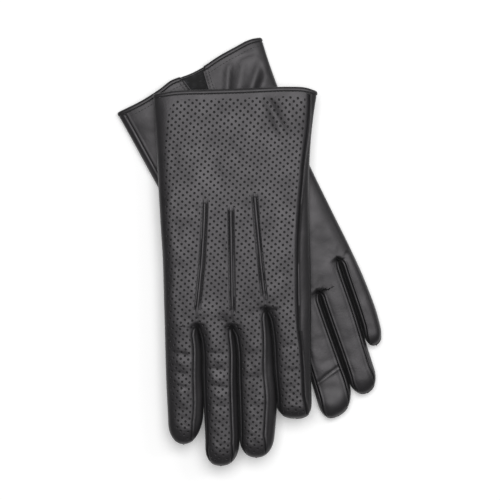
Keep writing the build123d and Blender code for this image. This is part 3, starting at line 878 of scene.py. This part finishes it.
def fingerPieces(name, k):
    f = gloves[name]["fingers"][fingerNames[k]]
    label = name + fingerNames[k].capitalize()
    half = lambda v: halfWidth(name, k, v)
    backL = lambda v: seamAngle(stripWidth(name, k, 0, v), half(v), -1)
    backR = lambda v: seamAngle(stripWidth(name, k, 1, v), half(v), 1)
    frontL = lambda v: seamAngle(frontWidth(name, k, 0, v), half(v), -1)
    frontR = lambda v: seamAngle(frontWidth(name, k, 1, v), half(v), 1)
    n = finger["columns"]
    first, last = k == 0, k == 3  # the index and the little finger have a folded side

    # back: punched leather
    parts = [("back", k, backL, backR, n + 8 * last)]
    if first:
        parts = [("palm", 0, frontL, fixed(-quarter), panel["foldColumns"]),
                 ("back", 0, fixed(-quarter), backR, n)]
    x, v, z, sides = gather(name, parts, fingerRows(name, k, "back"))
    start, end = acrossDistances(x, z)
    fade = ease((v - v[:1] - 0.5) / 5)
    lift = piped(start, 0.4, 0.15) if first else valley(start, 0.5, 0.7) * fade
    lift = lift + (valley(end, 0.7, 0.8) if last else valley(end, 0.5, 0.7) * fade)
    left, right = fingerEdges(name, k, v)
    plainLeft = 2.2 + 3.5 * ease((v - 185) / 45) if first else stripWidth(name, k, 0, v) + 1.4
    mask = holeMask(name, x, v, left + plainLeft, right - stripWidth(name, k, 1, v) - 1.6, f["tip"] - 3)
    mask = np.where(sides == "back", mask, -5)
    centre = centreOf(name, x, v)
    back = wall(label + "Back", laid(name, x, v, z), centre, form["leather"], nappaBack,
                np.stack([x, v, mask], -1), lift)
    settleFinger(back, name, k, "back")

    # front: plain leather, in two pieces where there is a touch tip
    parts = [("palm", k, frontL, frontR, n)]
    if last:
        parts = [("palm", 3, frontL, fixed(quarter), n), ("back", 3, fixed(quarter), backR, panel["edgeColumns"])]
    touch = touchTips.get((name, fingerNames[k]))
    seam = touch and (lambda xi: touch[0] + touch[1] * 11 * xi)
    pieces = [("Front", "front", nappaPalm, "plain_leather", None, seam)]
    if touch:
        pieces.append(("TouchTip", "touch_tip", nappaTouch, "touch_leather", seam, None))
    for word, suffix, material, slotName, begin, finish in pieces:
        rows = fingerRows(name, k, "palm", begin, finish, 60 if touch else None)
        x, v, z, sides = gather(name, parts, rows)
        start, end = acrossDistances(x, z)
        root = v[:1] - (9 if begin else 0)
        fade = ease((v - root - 0.5) / 5)
        lift = piped(start) * (1 if first else fade) + (piped(end, 0.6, 0.55) if last else piped(end) * fade)
        if finish:
            lift = lift + valley(v[-1:] - v, 0.35)
        if begin:
            lift = lift + touchRidge(v)
        front = wall(label + word, laid(name, x, v, z), centreOf(name, x, v), form["leather"], material,
                     None, lift)
        settleFinger(front, name, k, suffix)

    # the strips between the fingers, piped along both their edges
    made = []
    m = finger["stripColumns"]
    for which in (0, 1):
        if (first, last)[which]:
            continue
        parts = [("palm", k, frontL, fixed(-quarter), m), ("back", k, fixed(-quarter), backL, m)]
        if which == 1:
            parts = [("back", k, backR, fixed(quarter), m), ("palm", k, fixed(quarter), frontR, m)]
        root = gloves[name]["rootV"]["back"][k + which]
        rows = fingerRows(name, k, "back", fixed(root + 0.05), fixed(f["tip"] - 2.6), 84)
        x, v, z, sides = gather(name, parts, rows, closed=True)
        start, end = acrossDistances(x, z)
        toBack, toFront = (start, end) if which else (end, start)
        lift = 0.55 * np.exp(-((toBack - 0.9) / 0.7) ** 2) + 0.45 * np.exp(-((toFront - 0.8) / 0.6) ** 2)
        lift = lift * ease((v - root) / 1.5) * ease((f["tip"] - 3 - v) / 6) + 0.06
        middle = placing[name]["base"] + heightAt(v) / 2
        centre = laid(name, sum(fingerEdges(name, k, v)) / 2, v, middle)
        side = label + "Fourchette" + ("Left", "Right")[which]
        made.append(wall(side, laid(name, x, v, z), centre, form["leather"] * 0.9, nappaPalm, None, lift))
    strips = joined(label + "Fourchettes", made) if len(made) == 2 else made[0]
    settleFinger(strips, name, k, "fourchettes")

    # lining: the whole finger again as a superellipse, a wall's thickness in
    u = np.linspace(-math.pi, math.pi, 33)[None, :-1]
    q = np.linspace(0, 1, 30)[:, None]
    root = gloves[name]["rootV"]["back"][k] + 2
    v = root + (f["tip"] - 2.4 - root) * (1 - (1 - q) ** 1.5) + 0 * u
    left, right = fingerEdges(name, k, v + 1.6)
    _, thin = tipShrink(name, k, v + 1.6)
    a = np.maximum((right - left) / 2 - 1.5, 0.2)
    b = np.maximum(6 * thin - 1.5, 0.2)
    x = (left + right) / 2 + a * powered(np.sin(u), 0.85)
    z = placing[name]["base"] + 6 + b * powered(np.cos(u), 0.85)
    knit = meshFrom(label + "Lining", laid(name, x, v, z), gridFaces(30, 32, True), lining)
    fixNormals(knit)
    settleFinger(knit, name, k, "lining")


def joined(label, made):
    # several meshes as one piece, their vertices put end to end
    allVerts, allFaces, offset = [], [], 0
    for piece in made:
        mesh = piece.data
        co = np.empty(len(mesh.vertices) * 3)
        mesh.vertices.foreach_get("co", co)
        faces = np.empty(len(mesh.loops), int)
        mesh.loops.foreach_get("vertex_index", faces)
        allVerts.append(co.reshape(-1, 3))
        allFaces.append(faces.reshape(-1, 4) + offset)
        offset += len(mesh.vertices)
        material = mesh.materials[0]
        bpy.data.objects.remove(piece)
    return meshFrom(label, np.concatenate(allVerts), np.concatenate(allFaces), material)


def fixNormals(piece):
    shape = bmesh.new()
    shape.from_mesh(piece.data)
    bmesh.ops.recalc_face_normals(shape, faces=shape.faces)
    shape.to_mesh(piece.data)
    shape.free()


def onSkin(name, side, x, v):
    # height of a skin above the surface at any x and v, found lane by lane
    z = np.zeros(np.broadcast(x, v).shape)
    for k in range(4):
        left, right = laneEdges(name, side, k, v)
        half = np.maximum((right - left) / 2, 0.1)
        xi = (x - (left + right) / 2) / half
        _, found = skin(name, side, k, np.clip(xi, -1, 1), v)
        z = np.where((xi >= -1.0001) & (xi <= 1.0001), found, z)
    return z


binding = {"reach": 2.15, "thick": 1.28, "middle": 1.4, "sink": -0.9, "power": 0.9, "seamAt": 2.3,
           "round": 44, "along": 260}


def cuffLoop(name, u, v):
    # the cuff's section at angle u: 0 on the back, a quarter turn at the outer edge, a half turn on the palm
    left, right = palmEdges(name, v)
    x = (left + right) / 2 + (right - left) / 2 * np.sin(u)
    backZ = np.sign(np.cos(u)) * upOf(name, "back")
    height = heightAt(v)
    z = placing[name]["base"] + height / 2 + backZ * height / 2 * flatProfile(left, right, x, v)
    return x, z


def loopNormal(x, z):
    dx, dz = np.gradient(x, axis=0), np.gradient(z, axis=0)
    size = np.maximum(np.hypot(dx, dz), 1e-9)
    nx, nz = dz / size, -dx / size
    middle = (x.max() + x.min()) / 2
    sign = np.sign(np.sum(nx * (x - middle)))
    return nx * sign, nz * sign


def cuffBinding(name):
    # a superellipse carried round the cuff from one side of the vent to the other, closing at its ends
    left, right = palmEdges(name, 0.0)
    half, middle = (right - left) / 2, (right + left) / 2
    (_, ventLeft), (_, ventRight) = (gloves[name]["palmSplits"][j][0] for j in (1, 2))
    first = math.pi - math.asin((ventRight - middle) / half)
    last = -math.pi - math.asin((ventLeft - middle) / half)
    t = np.linspace(0, 1, binding["along"])[:, None]
    u = first + (last - first) * t
    x0, z0 = cuffLoop(name, u, 0 * u + 0.5)
    nx, nz = loopNormal(x0, z0)
    run = np.concatenate([[[0]], np.cumsum(np.hypot(np.diff(x0, axis=0), np.diff(z0, axis=0)), axis=0)])
    end = np.minimum(run, run[-1] - run)
    close = np.sqrt(1 - np.clip(1 - end / 1.3, 0, 1) ** 2) * 0.999 + 0.001
    a = np.linspace(0, 2 * math.pi, binding["round"], endpoint=False)[None, :]
    v = binding["middle"] + binding["reach"] * powered(np.cos(a), binding["power"]) * close
    off = binding["sink"] + binding["thick"] * powered(np.sin(a), binding["power"]) * close
    off = off - 0.5 * np.exp(-((v - binding["seamAt"]) / 0.45) ** 2) * (np.sin(a) > 0)
    x1, z1 = cuffLoop(name, u + 0 * v, np.maximum(v, 0))
    faces = gridFaces(binding["along"], binding["round"], True)
    piece = meshFrom(name + "CuffBinding", laid(name, x1 + nx * off, v, z1 + nz * off), faces, nappaBinding)
    fixNormals(piece)
    settle(piece, name + "_cuff_binding", name + "_palm")


def ventEdges(name, v):
    return (through(gloves[name]["palmSplits"][j], v) for j in (1, 2))


gusset = {"margin": 3.6, "below": 1.25, "sag": 1.0, "pleat": 2.1, "pleatDepth": 0.22, "depth": 38.0}


def ventGusset(name):
    # a strip under the vent's edges, sagging between them, with small pleats across from its elastic
    v = np.linspace(0.9, gusset["depth"], 120)[:, None]
    t = np.linspace(0, 1, 25)[None, :]
    left, right = ventEdges(name, v)
    left, right = left - gusset["margin"], right + gusset["margin"]
    x = left + (right - left) * t
    up = upOf(name, "palm")
    span = np.sin(math.pi * t)
    drop = gusset["below"] + gusset["sag"] * span ** 2 * ease((gusset["depth"] - v) / 20)
    drop = drop - gusset["pleatDepth"] * np.sin(2 * math.pi * v / gusset["pleat"]) * span
    z = onSkin(name, "palm", x, v + 0 * x) - up * drop
    centre = laid(name, x, v + 0 * x, z - up * 5)
    piece = wall(name + "VentGusset", laid(name, x, v + 0 * x, z), centre, 0.6, webbing)
    settle(piece, name + "_vent_gusset", name + "_palm")


def palmLining(name):
    # the sleeve's section again, a wall's thickness in, from inside the binding to short of the fingers
    u = np.linspace(-math.pi, math.pi, 161)[:, None]
    v = np.linspace(2.6, 126, 70)[None, :]
    x, z = cuffLoop(name, u + 0 * v, v + 0 * u)
    nx, nz = loopNormal(*cuffLoop(name, u, 0 * u + 30))
    soft = 0.12 * ripple(x, v, 16, 21)
    x, z = x - nx * (1.75 + soft), z - nz * (1.75 + soft)
    knit = laid(name, x[:-1], v + 0 * x[:-1], z[:-1]).transpose(1, 0, 2)
    piece = meshFrom(name + "PalmLining", knit, gridFaces(70, 160, True), lining)
    fixNormals(piece)
    settle(piece, name + "_palm_lining", name + "_palm")


def backPoints(name):
    # a raised cosine bump carried along each point's line, sunk at its sides and closing at its ends
    made = []
    up = upOf(name, "back")
    for n in range(3):
        t = np.linspace(0, 1, 90)[:, None]
        s = np.linspace(-1, 1, 13)[None, :]
        x, v = pointPath(name, n, t)
        slope = np.gradient(x[:, 0], v[:, 0])[:, None]
        taper = np.sqrt(ease(t / 0.05) * ease((1 - t) / 0.08))
        across = s * point["width"] / 2 * (0.55 + 0.45 * taper)
        x, v = x + across, v - across * slope
        rise = point["rise"] + 0.05 * np.sin(2 * math.pi * t * 32)
        bump = np.maximum(np.cos(s * math.pi / 2), 0) ** 0.4 * rise * taper
        z = onSkin(name, "back", x, v) + up * (bump - 0.28)
        centre = laid(name, x, v, z - up * 5)
        made.append(wall(f"{name}Point{n}", laid(name, x, v, z), centre, 0.5, nappaTuck))
    piece = joined(name + "BackPoints", made)
    settle(piece, name + "_back_points", name + "_palm")


thumb = {
    "radius": 8.5, "power": 0.80, "tipRound": 13.0, "seam": 0.70, "touch": 26.0, "touchSlant": 0.30,
    "leftThick": 11.8, "rightThick": 12.0, "rightReach": 70.0,
    "hidden": 22.0,  # a thumb without a round root runs on this far under the palm
}


def thumbPieces(name, xc, yRoot, reach, low, high, rootRound, body):
    # a superellipse section carried along -Y, narrowing to a round tip, and to a round root if it has one
    radius, halfHeight, middle = thumb["radius"], (high - low) / 2 - 0.1, (high + low) / 2
    first = -radius if rootRound else -thumb["hidden"]
    def tube(angles, distances, inset=0.0):
        q = np.clip((distances - (reach - thumb["tipRound"])) / thumb["tipRound"], 0, 1)
        wide, thin = np.maximum(1 - q ** 2.2, 0) ** (1 / 2.1), np.maximum(1 - q ** 2.6, 0) ** 0.5
        if rootRound:
            r = np.clip(-distances / radius, 0, 1)
            wide, thin = wide * np.sqrt(np.maximum(1 - r ** 2, 0)), thin * np.maximum(1 - r ** 4, 0) ** 0.5
        bulge = 1 + 0.03 * np.sin(distances / 9.0) - 0.05 * ease((distances - reach + 34) / 30)
        a, b = np.maximum(radius * wide * bulge - inset, 0.05), np.maximum(halfHeight * thin - inset, 0.05)
        sx, sz = np.sin(angles), np.cos(angles)
        x = xc * 1000 + a * powered(sx, thumb["power"])
        z = middle + b * powered(sz, thumb["power"])
        z = z + 0.25 * ripple(x, distances, 17, 31) * wide * np.where(sz > 0, 1, -0.2)
        return np.stack([x, yRoot * 1000 - distances, z], -1) / 1000
    def rows(count, start, end, fine):
        q = np.linspace(0, 1, count)[:, None]
        return start + (end - start) * (1 - (1 - q) ** (1.7 if fine else 1.0))
    split = math.pi + thumb["seam"]
    touchAt = lambda angles: reach - thumb["touch"] + thumb["touchSlant"] * radius * np.sin(angles)
    frontEnds = (split - 2 * math.pi, quarter)
    for word, suffix, angleEnds, material, slotName in (
            ("Back", "back", (quarter, split), nappaPalm, "perforated_leather"),
            ("Front", "front", frontEnds, nappaPalm, "plain_leather"),
            ("TouchTip", "touch_tip", frontEnds, nappaTouch, "touch_leather")):
        angles = np.linspace(*angleEnds, 33)[None, :]
        if suffix == "back":
            d = rows(80, first, reach - 0.02, True) + 0 * angles
        elif suffix == "front":
            d = rows(56, first, touchAt(angles), False)
        else:
            d = rows(40, touchAt(angles), reach - 0.02, True)
        p = tube(angles + 0 * d, d)
        step = np.linalg.norm(np.diff(p, axis=1), axis=-1) * 1000
        run = np.hstack([np.zeros((len(p), 1)), np.cumsum(step, axis=1)])
        lift = valley(run, 0.4) + valley(run[:, -1:] - run, 0.4)
        if suffix == "front":
            lift = lift + valley(d[-1:] - d, 0.35)
        if suffix == "touch_tip":
            lift = lift + touchRidge(d)
        centre = np.stack([xc + 0 * d, p[..., 1], middle / 1000 + 0 * d], -1)
        piece = wall(f"{name}Thumb{word}", p, centre, form["leather"], material, None, lift)
        settle(piece, f"{name}_thumb_{suffix}", body)
    angles = np.linspace(-math.pi, math.pi, 33)[None, :-1]
    d = rows(40, first + 1.5, reach - 2.0, True) + 0 * angles
    p = tube(angles + 0 * d, np.minimum(d + 0.5, reach - 1.5), 1.4)
    p[..., 1] = yRoot - d / 1000
    knit = meshFrom(name + "ThumbLining", p, gridFaces(40, 32, True), lining)
    fixNormals(knit)
    settle(knit, name + "_thumb_lining", body)


stitch = {"pitch": 2.3, "length": 1.55, "radius": 0.2}


def stitchRows(label, name, body, paths):
    # small spindles laid end to end along lines on a skin: (side, x, v, height over the skin)
    rings = np.array([(-0.5, 0.35), (-0.32, 1.0), (0.32, 1.0), (0.5, 0.35)])
    a = np.linspace(0, 2 * math.pi, 6, endpoint=False)
    radius = np.repeat(rings[:, 1], 6) * stitch["radius"]
    shape = np.stack([np.repeat(rings[:, 0] * stitch["length"], 6), np.tile(np.cos(a), 4) * radius,
                      np.tile(np.sin(a), 4) * radius], -1) / 1000
    tube = gridFaces(4, 6, True)
    verts, faces, count = [], [], 0
    for side, x, v, over in paths:
        line = laid(name, x, v, onSkin(name, side, x, v) + upOf(name, side) * over)
        run = np.concatenate([[0], np.cumsum(np.linalg.norm(np.diff(line, axis=0), axis=1))])
        at = np.arange(stitch["pitch"] / 2000, run[-1], stitch["pitch"] / 1000)
        behind, centre, ahead = (np.stack([np.interp(at + off, run, line[:, i]) for i in range(3)], -1)
                                 for off in (-0.0006, 0, 0.0006))
        t = (ahead - behind) / np.maximum(np.linalg.norm(ahead - behind, axis=1, keepdims=True), 1e-9)
        b = np.cross(np.array([0, 0, 1.0]), t)
        b /= np.linalg.norm(b, axis=1, keepdims=True)
        n = np.cross(t, b)
        placed = centre[:, None] + sum(way[:, None] * shape[None, :, i:i + 1] for i, way in enumerate((t, b, n)))
        verts.append(placed.reshape(-1, 3))
        faces.append((tube[None] + 24 * np.arange(len(at))[:, None, None]).reshape(-1, 4) + count)
        count += 24 * len(at)
    piece = meshFrom(label, np.concatenate(verts), np.concatenate(faces), thread)
    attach(piece, body)
    return piece


def palmStitches(name):
    paths = []
    for side in ("back", "palm"):
        left, right = palmEdges(name, 3.4)
        x = np.linspace(left + 3, right - 3, 200)
        runs = [x]
        if side == "palm":
            (_, ventLeft), (_, ventRight) = (gloves[name]["palmSplits"][j][0] for j in (1, 2))
            runs = [x[x < ventLeft - 1], x[x > ventRight + 1]]
        for r in runs:
            paths.append((side, r, 0 * r + 2.3, 0.0))
            if side == "palm":
                paths.append((side, r, 0 * r + 5.0, 0.05))
    v = np.linspace(1, 33, 90)
    for edge, sign in zip(ventEdges(name, v), (-1, 1)):
        for off in (1.5, 3.5):
            paths.append(("palm", edge + sign * off, v, 0.18))
    t = np.linspace(0.01, 0.99, 160)
    for n in range(3):
        x, v = pointPath(name, n, t)
        for sign in (-1, 1):
            paths.append(("back", x + sign * 1.7, v, 0.1))
    stitchRows(name + "PalmStitches", name, name + "_palm", paths)


for name in gloves:
    backPanel(name)
    palmPanel(name)
    cuffBinding(name)
    ventGusset(name)
    palmLining(name)
    backPoints(name)
    palmStitches(name)
    for k in range(4):
        fingerPieces(name, k)
    print(name, "panels and fingers made")

pivot = joints["left_thumb_swing"]["pos_m"]
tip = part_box("left_thumb_touch_tip")[0]
base = pivot[2] * 1000
thumbPieces("left", pivot[0], pivot[1], (pivot[1] - tip[1]) * 1000, base, base + thumb["leftThick"],
            True, "left_thumb")
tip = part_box("right_thumb_touch_tip")[0]
reach = thumb["rightReach"]
thumbPieces("right", tip[0] + thumb["radius"] / 1000, tip[1] + reach / 1000, reach, 0.0, thumb["rightThick"],
            False, "right_palm")
print("thumbs made")


# A broad soft box overhead, near the camera, which level leather mirrors and sloping leather doesn't
studio = {
    "world": 0.27,
    "lamps": (
        ("overhead", (0.06, 0.24, 1.5), 1.0, 17.5),
        ("edge", (0.9, 0.5, 0.9), 0.5, 2),
    ),
}


def stage():
    bpy.ops.mesh.primitive_plane_add(size=6, location=(0, 0, -0.0002))
    floor = bpy.context.object
    floor.name = "floor"
    material = bpy.data.materials.new("matt white paper")
    material.use_nodes = True
    shader = material.node_tree.nodes["Principled BSDF"]
    shader.inputs["Base Color"].default_value = hexColour("#fbfbfb")
    shader.inputs["Roughness"].default_value = 0.9
    shader.inputs["Emission Color"].default_value = (1, 1, 1, 1)
    shader.inputs["Emission Strength"].default_value = 0.14
    floor.data.materials.append(material)
    world = bpy.data.worlds.new("studio")
    bpy.context.scene.world = world
    world.use_nodes = True
    world.node_tree.nodes["Background"].inputs["Color"].default_value = (1, 1, 1, 1)
    world.node_tree.nodes["Background"].inputs["Strength"].default_value = studio["world"]
    for label, where, size, power in studio["lamps"]:
        light = bpy.data.lights.new(label, "AREA")
        light.size, light.energy = size, power
        lamp = bpy.data.objects.new(label, light)
        bpy.context.scene.collection.objects.link(lamp)
        lamp.location = where
        lamp.rotation_euler = (-Vector(where)).to_track_quat("-Z", "Y").to_euler()
    data = bpy.data.cameras.new("camera")
    camera = bpy.data.objects.new("camera", data)
    bpy.context.scene.collection.objects.link(camera)
    data.lens, data.sensor_width = 200, 36
    span = 0.3284  # what the camera sees across, in metres
    camera.location = (0.0, 0.001, 0.020 + span / 2 / (18 / 200))
    camera.rotation_euler = (0, 0, 0)
    bpy.context.scene.camera = camera
    bpy.context.scene.view_settings.view_transform = "Standard"  # a clean white ground, as in a catalogue


stage()
